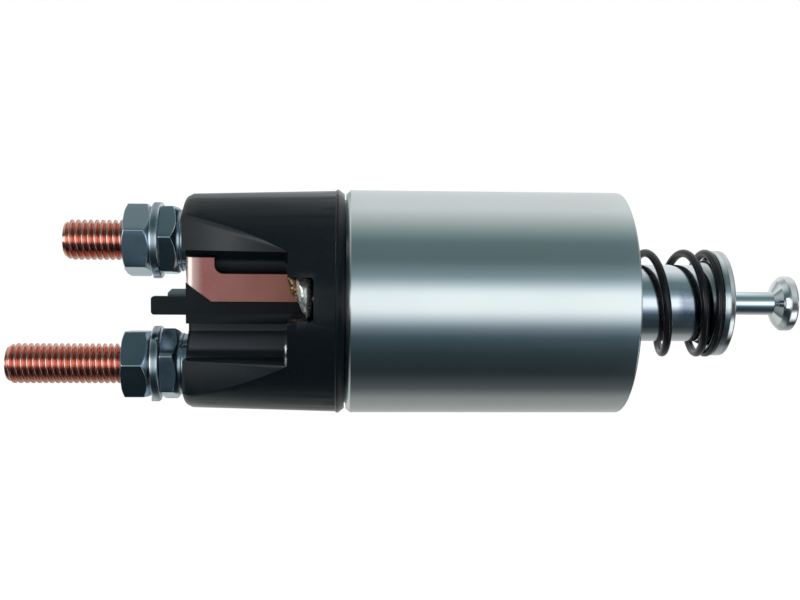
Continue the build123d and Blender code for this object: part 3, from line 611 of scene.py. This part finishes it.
def hexNut(name, x, thickness, height, angle, chamfer):
    # Nut: for each direction the hexagon's radius, rounded at its corners, is cut by the cones at both ends.
    # Its outer face is at x, and a corner lies 'angle' above the near side, which faces -Y.
    half = nutShape["flats"] / 2
    rounding = nutShape["cornerRadius"]
    fullCorner = nutShape["flats"] / sqrt(3)
    sixthHalf = radians(30)
    middle = (half - rounding) / np.cos(sixthHalf)
    touch = np.arctan2(rounding * np.sin(sixthHalf), middle + rounding * np.cos(sixthHalf))
    flat = np.linspace(touch - sixthHalf, sixthHalf - touch, nutShape["flatSteps"])
    corner = np.linspace(-touch, touch, nutShape["cornerSteps"] + 1)[1:-1]
    flatRadius = half / np.cos(flat)
    cornerRadius = middle * np.cos(corner) + np.sqrt(rounding ** 2 - (middle * np.sin(corner)) ** 2)
    sixth = np.concatenate([flat, sixthHalf + corner])
    around = (sixth[None, :] + 2 * sixthHalf * np.arange(6)[:, None] + sixthHalf).ravel()
    hexRadius = np.tile(np.concatenate([flatRadius, cornerRadius]), 6)
    outerFace = fullCorner - chamfer
    inner = x + thickness
    outerCut = x + np.clip(hexRadius - outerFace, 0, None) * tan(radians(nutShape["chamferAngle"]))
    bore, sink, mouth, bearing = (nutShape[key] for key in ("bore", "countersink", "mouth", "bearingRadius"))
    innerCut = inner - nutShape["bearingCone"] * np.clip((hexRadius - bearing) / (fullCorner - bearing), 0, 1)
    same = np.ones_like(hexRadius)
    rows = [
        ((inner - mouth) * same, bore * same), (inner * same, sink * same), (inner * same, bearing * same),
        (innerCut, hexRadius), (outerCut, hexRadius), (x * same, np.minimum(hexRadius, outerFace)),
        (x * same, sink * same), ((x + mouth) * same, bore * same),
    ]
    rowX, rowR = np.array(rows).swapaxes(0, 1)
    turn = around + radians(180) - radians(angle)
    points = np.stack([rowX, rowR * np.cos(turn), rowR * np.sin(turn) + height], axis=-1).reshape(-1, 3)
    faces = gridFaces(len(rows), len(around), closeRows=True)
    piece = keepMesh(name, points, faces, nutShape["sharpAngle"])
    roundEdges(piece, nutShape["edge"], nutShape["sharpAngle"], nutShape["edgeSteps"])
    return piece


def splitWasher(name, x, height, space):
    # Spring washer: a rounded rectangle carried along most of one turn while it moves along the axis. Its
    # first and last sections shrink to a point, which closes the ends.
    half, thick, rounding = washerShape["wall"] / 2, washerShape["thickness"], washerShape["rounding"]
    section = roundedLine([
        (-thick / 2, -half, rounding), (thick / 2, -half, rounding),
        (thick / 2, half, rounding), (-thick / 2, half, rounding),
    ], washerShape["roundingSteps"])
    share = np.linspace(0, 1, washerShape["steps"])
    share = np.concatenate([[0], share, [1]])[:, None]
    size = np.ones_like(share)
    size[[0, -1]] = 0
    angle = radians(washerShape["startAngle"]) + share * washerShape["turn"] * 2 * np.pi
    rowX = x + thick / 2 + share * (space - thick) + section[:, 0] * size
    rowR = washerShape["outer"] - half + section[:, 1] * size
    points = np.stack([rowX, -rowR * np.sin(angle), rowR * np.cos(angle) + height], axis=-1).reshape(-1, 3)
    return keepMesh(name, points, gridFaces(len(share), len(section)), washerShape["sharpAngle"])


def plainRing(name, x, thickness, outer, height):
    # A flat ring round a stud: its bore and its outer radius, with the outer edges slightly rounded.
    bore = stack["boreRadius"]
    return turnedPiece(name, [
        (x, bore, 0), (x + thickness, bore, 0), (x + thickness, outer, stack["innerEdge"]),
        (x, outer, stack["outerEdge"]),
    ], height, stack["columns"], ringShaped=True)


for side, given in sides.items():
    height, space, thickness = given["height"], given["space"], stack["nutThickness"]
    jamX, jamThickness, jamChamfer = stack["jamNut"]
    nutX = jamX - space - thickness
    for piece, node in (
        (plainRing(side + "Collar", *stack["collar"], height), "stud_collar"),
        (plainRing(side + "Washer", *stack["washer"], height), "plain_washer"),
        (hexNut(side + "JamNut", jamX, jamThickness, height, given["jamAngle"], jamChamfer), "jam_nut"),
        (splitWasher(side + "SplitWasher", jamX - space, height, space), "spring_washer"),
        (hexNut(side + "TerminalNut", nutX, thickness, height, given["nutAngle"], stack["nutChamfer"]),
         "terminal_nut"),
    ):
        node = f"{side}_{node}"
        place(piece, "housing", node, finishes[nodeFinishes[node]])
print("nuts and washers made")

# plunger, spring seat and pull rod: the corners of each outline in order, as x, radius and rounding
plungerShape = {
    "noseMiddle": (-26.8, 0, 0), "noseTip": (-26.8, 3.8, 0.3), "noseFoot": (-22.0, 7.3, 0),
    "front": (-22.0, 9.65, 0.4), "end": (24.0, 9.65, 0), "boreMouth": (24.0, 6.2, 0.2),
    "boreFloor": (-8.0, 6.2, 0), "pocketMouth": (-8.0, 3.3, 0), "pocketFloor": (-9.5, 3.3, 0),
    "pocketMiddle": (-9.5, 0, 0),
}
seatShape = {
    "boreBack": (24.0, 2.97, 0), "hubInside": (24.0, 9.7, 0), "hubTip": (20.6, 9.7, 0),
    "hubLip": (20.7, 9.8, 0), "flare": (22.6, 10.8, 1.2), "hubFoot": (24.0, 10.8, 0.2),
    "rimBack": (24.0, 13.2, 0.35), "rimFront": (26.7, 13.2, 0.35), "boreFront": (26.7, 2.97, 0.2),
}
rodShape = {
    "rivetMiddle": (-9.1, 0, 0), "rivetTip": (-9.1, 1.4, 0.3), "rivetBack": (-8.0, 2.8, 0),
    "neckStart": (-8.0, 2.2, 0), "neckEnd": (-6.0, 2.2, 0), "shank": (-6.0, 2.9, 0.2),
    "headFoot": (40.0, 2.9, 0.3), "cone": (41.4, 5.7, 0.5), "rimBack": (42.6, 6.85, 0.4),
    "rimFront": (44.8, 6.85, 0.5), "dome": (45.45, 4.4, 6.0), "domeTop": (45.8, 0, 0),
}
seatColumns = 160

plungerBody = turnedPiece("plungerBody", plungerShape.values())
place(plungerBody, "plunger_body", "plunger", finishes["plunger"])
springSeat = turnedPiece("springSeat", seatShape.values(), ringShaped=True, columns=seatColumns)
place(springSeat, "plunger_body", "spring_seat", finishes["seat"])
pullRod = turnedPiece("pullRod", rodShape.values())
place(pullRod, "rod_body", "pull_rod", finishes["rod"])
print("plunger, seat and rod turned")

# springs: knots are (turns, x); lengths in millimetres, but the anchor in metres; start in degrees
coilCare = {"sides": 20, "stepsPerTurn": 64, "easedTurn": 5, "sharpAngle": 60.0}
springs = {
    "returnSpring": {
        "node": "return_spring", "slot": "spring_steel",
        "knots": [(0, 1.0), (1, 3.05), (1.5, 7.7), (2, 12.1), (2.5, 17.6), (3, 20.95), (3.45, 22.98),
                  (4, 23.0)],
        "start": 176.4, "coil": 12.55, "wire": 2.0,
        "joint": "plunger_slide", "anchor": (0, 0, 0), "keep": 13.1 / 24, "rides": "housing",
    },
    "driveSpring": {
        "node": "drive_spring", "slot": "bright_spring",
        "knots": [(0, -5.3), (9, 23.3)], "start": 0.0, "coil": 4.65, "wire": 1.4,
        "joint": "rod_slide", "anchor": (0.024, 0, 0), "keep": 0.8, "rides": "plunger_body",
    },
    "contactReturnSpring": {
        "node": "contact_return_spring", "slot": "bright_spring",
        "knots": [(0, -83.55), (6, -69.85)], "start": 0.0, "coil": 3.35, "wire": 0.9,
        "joint": "contact_slide", "anchor": (-0.084, 0, 0), "keep": 0.795, "rides": "housing",
    },
    "contactSpring": {
        "node": "contact_spring", "slot": "bright_spring",
        "knots": [(0, -63.9), (3, -57.3)], "start": 0.0, "coil": 4.9, "wire": 1.0,
        "joint": "disc_slide", "anchor": (-0.0568, 0, 0), "keep": 0.921, "rides": "shaft_body",
    },
}


def wireCoil(name, x, angle, coilRadius, wire):
    # Round wire along a helix: at each step a circle stands across the helix's own direction.
    slopeX, slopeA = np.gradient(x), np.gradient(angle) * coilRadius
    length = np.sqrt(slopeX ** 2 + slopeA ** 2)
    cosine, sine = (slopeA / length)[:, None], (slopeX / length)[:, None]
    around = np.linspace(0, 2 * np.pi, coilCare["sides"], endpoint=False)
    size = np.ones(len(x))
    size[[0, -1]] = 0
    outward = size[:, None] * wire / 2 * np.cos(around)
    sideways = size[:, None] * wire / 2 * np.sin(around)
    turn = angle[:, None]
    r = coilRadius + outward
    # sideways runs along the axis, less the part that leans back against the turn
    rowX = x[:, None] + sideways * cosine
    back = sideways * sine
    y = -r * np.sin(turn) + back * np.cos(turn)
    z = r * np.cos(turn) + back * np.sin(turn)
    points = np.stack([rowX, y, z], axis=-1).reshape(-1, 3)
    return keepMesh(name, points, gridFaces(len(x), coilCare["sides"]), coilCare["sharpAngle"])


def springSteps(knots):
    # Positions along a spring, from its knots eased by a running mean over a fifth of a turn to either side,
    # with the first and last step doubled for the end caps.
    knots = np.array(knots)
    stepCount = int(coilCare["stepsPerTurn"] * (knots[-1, 0] - knots[0, 0])) + 1
    turns = np.linspace(knots[0, 0], knots[-1, 0], stepCount)
    x = np.interp(turns, knots[:, 0], knots[:, 1])
    width = coilCare["stepsPerTurn"] // coilCare["easedTurn"]
    x = np.convolve(np.pad(x, width, mode="edge"), np.ones(2 * width + 1) / (2 * width + 1), mode="valid")
    turns = np.concatenate([turns[:1] - 1e-5, turns, turns[-1:] + 1e-5])
    x = np.concatenate([x[:1], x, x[-1:]])
    return x, turns * 2 * np.pi


for name, spring in springs.items():
    x, turn = springSteps(spring["knots"])
    coil = wireCoil(name, x, turn + radians(spring["start"]), spring["coil"], spring["wire"])
    finish = finishes[nodeFinishes[spring["node"]]]
    place(coil, spring["rides"], spring["node"], finish)
    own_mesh(coil)
print("springs wound")

# cap and strap: their nodes' own shapes, with rounded edges; edge in millimetres, limit in degrees
terminalCap = {"node": "terminal_cap", "edge": 0.16, "limit": 30.0, "slot": "phenolic"}
terminalStrap = {"node": "terminal_strap", "edge": 0.22, "limit": 32.0, "slot": "strap_copper"}


def mergedCopy(name, given):
    # A node's shape as a clean mesh with rounded edges, in place of the node.
    node = given["node"]
    piece = cleanPiece(name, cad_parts[node].data, given["limit"], joinFlats=True)
    roundEdges(piece, given["edge"], given["limit"])
    return place(piece, "housing", node, finishes[nodeFinishes[node]])


capPiece = mergedCopy("terminalCap", terminalCap)
mergedCopy("terminalStrap", terminalStrap)
print("cap and strap made")

# solder: a drop that stands on the strap's end round the coil's lead and leans away, and flux spilt beside
# it. Outlines and middles are (x, z) as seen from the front; front and back are distances towards the front
solderShape = {
    "outline": [(-78.9, 6.4), (-78.2, 7.2), (-76.8, 7.3), (-75.6, 6.6), (-75.2, 5.0), (-75.1, 3.2),
                (-75.1, 1.2), (-75.4, -0.8), (-76.1, -2.2), (-76.7, -1.8), (-77.3, -0.9), (-78.1, 0.6),
                (-78.7, 2.4), (-78.9, 4.4)],
    "middle": (-76.75, 3.4), "front": 24.0, "dome": 2.1, "back": 9.0, "lean": (0.035, 0.075), "points": 84,
    "domeRows": 24, "sideRows": 30, "grain": 0.05,
}
fluxShape = {
    "outline": [(-81.2, 7.2), (-79.8, 7.2), (-77.8, 7.0), (-76.6, 5.8), (-76.2, 3.4), (-76.3, 1.5),
                (-76.9, 0.5), (-78.6, 0.5), (-79.6, 1.3), (-80.6, 3.0), (-81.1, 4.8), (-81.5, 6.2)],
    "middle": (-79.2, 4.0), "front": 10.7, "dome": 0.75, "back": 9.5, "lean": (0.0, 0.0), "points": 60,
    "domeRows": 18, "sideRows": 4, "grain": 0.10,
}
poured = {"domePower": 2.4, "sharpAngle": 60.0}


def roundOutline(corners, count):
    # A smooth closed line through corners: the x and z of each are read off a few Fourier waves.
    corners = np.array(corners)
    waves = np.fft.rfft(corners, axis=0)
    return np.fft.irfft(waves, n=count, axis=0) * count / len(corners)


def puddle(shape):
    # Points and faces of a lump seen from its front: rings from its middle to its outline, each deeper by a
    # power of its share, then rings that go back and lean, and a last point behind. Waves make it uneven.
    line = roundOutline(shape["outline"], shape["points"])
    middle = np.array(shape["middle"])
    domeShare = np.linspace(0, 1, shape["domeRows"])
    share = np.concatenate([domeShare, np.ones(shape["sideRows"]), [0.0]])
    edge = shape["front"] - shape["dome"]
    back = np.linspace(edge, shape["back"], shape["sideRows"] + 1)[1:]
    dome = shape["front"] - shape["dome"] * domeShare ** poured["domePower"]
    near = np.concatenate([dome, back, back[-1:]])
    sunk = np.clip(edge - near, 0, None)[:, None]
    x = middle[0] + share[:, None] * (line[:, 0] - middle[0]) - shape["lean"][0] * sunk
    z = middle[1] + share[:, None] * (line[:, 1] - middle[1]) - shape["lean"][1] * sunk
    wave = np.sin(2.6 * x + 1.9 * z) * np.sin(3.4 * z - 1.3 * x + 0.8) + 0.5 * np.sin(7.1 * x - 5.3 * z)
    near = near[:, None] + shape["grain"] * wave * (share * (share < 1))[:, None]
    return np.stack([x, -near, z], axis=-1).reshape(-1, 3), gridFaces(len(share), shape["points"])


solderPoints, solderFaces = puddle(solderShape)
fluxPoints, fluxFaces = puddle(fluxShape)
solder = keepMesh("solderJoint", np.concatenate([solderPoints, fluxPoints]),
                  np.concatenate([solderFaces, fluxFaces + len(solderPoints)]), poured["sharpAngle"])
place(solder, "housing", "solder_joint", finishes["fluxedSolder"])
print("solder poured")

# studio: lengths in metres
lamps = {
    "softLamp": {"power": 4.0, "size": (0.9, 0.9), "spot": (-0.35, -0.5, 0.85), "aim": (-0.08, 0, 0)},
    "window": {
        "power": 8.0, "size": (0.16, 0.30), "spot": (-0.4965, -0.152, 0.400),
        "aim": (-0.0825, -0.0078, -0.0107),
    },
}
roomLight = 0.85
paper = {
    "height": -0.62, "size": 6.0, "bend": 0.8, "bendStart": 0.5, "bendSteps": 24, "top": 3.0,
    "colour": (0.94, 0.94, 0.94, 1), "roughness": 0.9, "specular": 0.1, "ownWhite": 0.75,
    "ownWhiteLevel": 1.07,
}
# a tent of cards that polished pieces see: its ends' level, the angles in degrees over which the strength
# from below takes over, how soft a card's edges are, and a tint and a place for the bands that the rod sees
tent = {
    "radius": 0.5, "reach": 1.2, "rows": 241, "columns": 241, "endLevel": 0.6, "underFrom": 85,
    "underOver": 30, "cardEdge": 8, "rodTint": (0.97, 1.0, 1.01), "rodReach": (0.207, 0.216, 0.34, 0.42),
}
# its cards round the axis: degrees from the camera's side upwards, then a grey or bluish level
tentBands = [
    (-180, (0.62, 0.65, 0.64)), (-135, (0.38, 0.40, 0.385)), (-108, (0.26, 0.285, 0.275)),
    (-93, (0.09, 0.105, 0.11)), (-70, (0.022, 0.030, 0.035)), (-48, (0.024, 0.042, 0.048)),
    (-30, (0.055, 0.088, 0.110)), (-20, (0.19, 0.25, 0.30)), (-11, (0.64, 0.74, 0.78)),
    (-4, (1.02, 1.10, 1.12)), (13, (1.02, 1.12, 1.14)), (21, (0.55, 0.67, 0.72)), (28, (0.24, 0.33, 0.37)),
    (45, (0.11, 0.165, 0.175)), (66, (0.125, 0.185, 0.195)), (78, (0.24, 0.33, 0.33)),
    (92, (0.46, 0.51, 0.51)), (110, (0.70, 0.745, 0.745)), (180, (0.74, 0.78, 0.78)),
]
# how strong those cards are along the object: place, strength above and in front, strength below
tentReach = [
    (-1.2, 0.7, 1.0), (-0.70, 0.8, 1.4), (-0.50, 1.05, 1.6), (-0.36, 0.9, 1.5), (-0.20, 0.50, 1.3),
    (-0.13, 0.70, 1.0), (-0.06, 1.0, 1.0), (0.11, 1.0, 1.0), (0.165, 1.22, 1.15), (0.185, 0.9, 1.1),
    (0.30, 1.0, 1.1), (0.45, 0.6, 0.7), (0.6, 0.45, 0.5), (0.9, 0.75, 0.8), (1.2, 0.85, 0.9),
]
# the bands that the rod and its head see instead: the same angles, and a level
rodBands = [
    (-180, 0.60), (-110, 0.25), (-96, 0.05), (-83, 0.04), (-74, 0.36), (-60, 1.10), (-38, 1.22), (-28, 0.35),
    (-20, 0.10), (2, 0.11), (14, 0.38), (42, 0.60), (75, 0.50), (92, 0.50), (110, 0.72), (180, 0.76),
]
# more cards at the left, in front: place, reach along x, lowest and highest angle, added level
tentCards = [
    (-0.465, 0.045, -8.0, 30.0, 4.6), (-0.55, 0.15, -25.0, -8.0, 0.9), (-1.05, 0.22, -25.0, 40.0, 4.0),
]


def emptyMaterial(name):
    # A material with nodes, and its tree.
    material = bpy.data.materials.new(name)
    material.use_nodes = True
    return material, material.node_tree


def buildTent():
    # A tube of cards round the object, closed at both ends: its level shades from card to card round the axis
    # and from place to place along it. It shows in reflections alone, and casts no light or shadow.
    degrees = np.linspace(-180, 180, tent["columns"])
    along = np.linspace(-tent["reach"], tent["reach"], tent["rows"])
    x = np.concatenate([along[:1], along, along[-1:]])
    size = np.ones_like(x)
    size[[0, -1]] = 0
    turn = np.tile(degrees, (len(x), 1))
    angle = np.radians(turn)
    rowX, rowSize = np.repeat(x[:, None], len(degrees), 1), np.repeat(size[:, None], len(degrees), 1)
    radius = tent["radius"] * rowSize
    points = np.stack([rowX, -radius * np.cos(angle), radius * np.sin(angle)], axis=-1)
    mesh = bpy.data.meshes.new("tent")
    mesh.from_pydata(points.reshape(-1, 3).tolist(), [], gridFaces(*rowX.shape, closeColumns=False).tolist())
    stops = np.array([stop[0] for stop in tentBands], float)
    levels = np.array([stop[1] for stop in tentBands], float)
    shade = np.stack([np.interp(turn, stops, levels[:, band]) for band in range(3)], axis=-1)
    places, above, below = np.array(tentReach).T
    under = np.clip((-turn - tent["underFrom"]) / tent["underOver"], 0, 1)
    strength = np.interp(rowX, places, above) * (1 - under) + np.interp(rowX, places, below) * under
    strength = strength * np.where(rowSize > 0, 1.0, tent["endLevel"])
    shade = shade * strength[..., None]
    rodStops, rodLevels = np.array(rodBands).T
    rodShade = np.interp(turn, rodStops, rodLevels)[..., None] * np.array(tent["rodTint"])
    rodShare = np.interp(rowX, tent["rodReach"], (0, 1, 1, 0))[..., None]
    shade = shade * (1 - rodShare) + rodShade * rodShare
    for spot, width, low, high, level in tentCards:
        fromLow = np.clip((turn - low) / tent["cardEdge"] + 0.5, 0, 1)
        fromHigh = np.clip((high - turn) / tent["cardEdge"] + 0.5, 0, 1)
        card = level * np.exp(-((rowX - spot) / width) ** 2) * fromLow * fromHigh * (rowSize > 0)
        shade = shade + card[..., None]
    colour = np.concatenate([shade, np.ones((*rowX.shape, 1))], axis=-1)
    stored = mesh.color_attributes.new("card", "FLOAT_COLOR", "POINT")
    stored.data.foreach_set("color", colour.astype(np.float32).ravel())
    material, tree = emptyMaterial("tentCards")
    tree.nodes.clear()
    card = addNode(tree, "Attribute", attribute_name="card")
    glow = addNode(tree, "Emission")
    out = addNode(tree, "OutputMaterial")
    joinNodes(tree, (card.outputs["Color"], glow.inputs["Color"]), (glow.outputs[0], out.inputs["Surface"]))
    mesh.materials.append(material)
    tube = newObject("tent", mesh)
    for ray in ("camera", "diffuse", "shadow", "transmission", "volume_scatter"):
        setattr(tube, "visible_" + ray, False)


def seenRays(tree):
    # One for rays from the camera and for reflected or refracted ones, nought for diffuse light.
    path = addNode(tree, "LightPath")
    first = addNode(tree, "Math", operation="MAXIMUM")
    second = addNode(tree, "Math", operation="MAXIMUM")
    joinNodes(
        tree,
        (path.outputs["Is Camera Ray"], first.inputs[0]),
        (path.outputs["Is Glossy Ray"], first.inputs[1]),
        (first.outputs[0], second.inputs[0]),
        (path.outputs["Is Transmission Ray"], second.inputs[1]),
    )
    return second.outputs[0]


def buildFloor():
    # A plain pale sheet that rises at the back: flat, then a quarter circle up, then a wall. Part of its
    # white is its own where it is seen, and the rest still shows the shadow.
    half, bend = paper["size"] / 2, paper["bend"]
    turn = np.linspace(0, np.pi / 2, paper["bendSteps"])
    start = half * paper["bendStart"]
    y = np.concatenate([[-half], start + bend * np.sin(turn), [start + bend]])
    z = np.concatenate([[0], bend - bend * np.cos(turn), [paper["top"]]]) + paper["height"]
    x = np.array([-half, half])
    points = np.stack([np.repeat(x[:, None], len(y), 1), np.tile(y, (2, 1)), np.tile(z, (2, 1))], axis=-1)
    mesh = bpy.data.meshes.new("floor")
    mesh.from_pydata(points.reshape(-1, 3).tolist(), [], gridFaces(2, len(y), closeColumns=False).tolist())
    mesh.shade_smooth()
    material, tree = emptyMaterial("floorPaper")
    shader = tree.nodes["Principled BSDF"]
    shader.inputs["Base Color"].default_value = paper["colour"]
    shader.inputs["Roughness"].default_value = paper["roughness"]
    shader.inputs["Specular IOR Level"].default_value = paper["specular"]
    share = addNode(tree, "Math", {1: paper["ownWhite"]}, operation="MULTIPLY")
    white = addNode(tree, "Emission", {"Strength": paper["ownWhiteLevel"]})
    both = addNode(tree, "MixShader")
    joinNodes(
        tree,
        (seenRays(tree), share.inputs[0]),
        (share.outputs[0], both.inputs["Fac"]),
        (shader.outputs[0], both.inputs[1]),
        (white.outputs[0], both.inputs[2]),
        (both.outputs[0], tree.nodes["Material Output"].inputs["Surface"]),
    )
    mesh.materials.append(material)
    newObject("floor", mesh)


def buildRoom():
    # The world: white where it is seen or reflected, and the room's level as light.
    world = bpy.data.worlds.new("room")
    world.use_nodes = True
    bpy.context.scene.world = world
    tree = world.node_tree
    tree.nodes.clear()
    level = addNode(tree, "MapRange", {"To Min": roomLight, "To Max": 1.0})
    sky = addNode(tree, "Background", {"Color": (1, 1, 1, 1)})
    out = addNode(tree, "OutputWorld")
    joinNodes(
        tree,
        (seenRays(tree), level.inputs["Value"]),
        (level.outputs["Result"], sky.inputs["Strength"]),
        (sky.outputs[0], out.inputs["Surface"]),
    )


def addLamp(name):
    # A soft rectangular lamp that looks at its aim.
    given = lamps[name]
    data = bpy.data.lights.new(name, "AREA")
    data.shape = "RECTANGLE"
    data.energy = given["power"]
    data.size, data.size_y = given["size"]
    lamp = newObject(name, data)
    here = Matrix.Translation(given["spot"])
    towards = Vector(given["aim"]) - here.translation
    lamp.matrix_world = here @ towards.to_track_quat("-Z", "Y").to_matrix().to_4x4()
    return lamp


buildTent()
buildFloor()
buildRoom()
softLamp = addLamp("softLamp")
softLamp.visible_glossy = False
# a window, seen only in the cap's gloss
capOnly = bpy.data.collections.new("capOnly")
capOnly.objects.link(capPiece)
window = addLamp("window")
window.visible_diffuse = False
window.light_linking.receiver_collection = capOnly
print("studio lit")
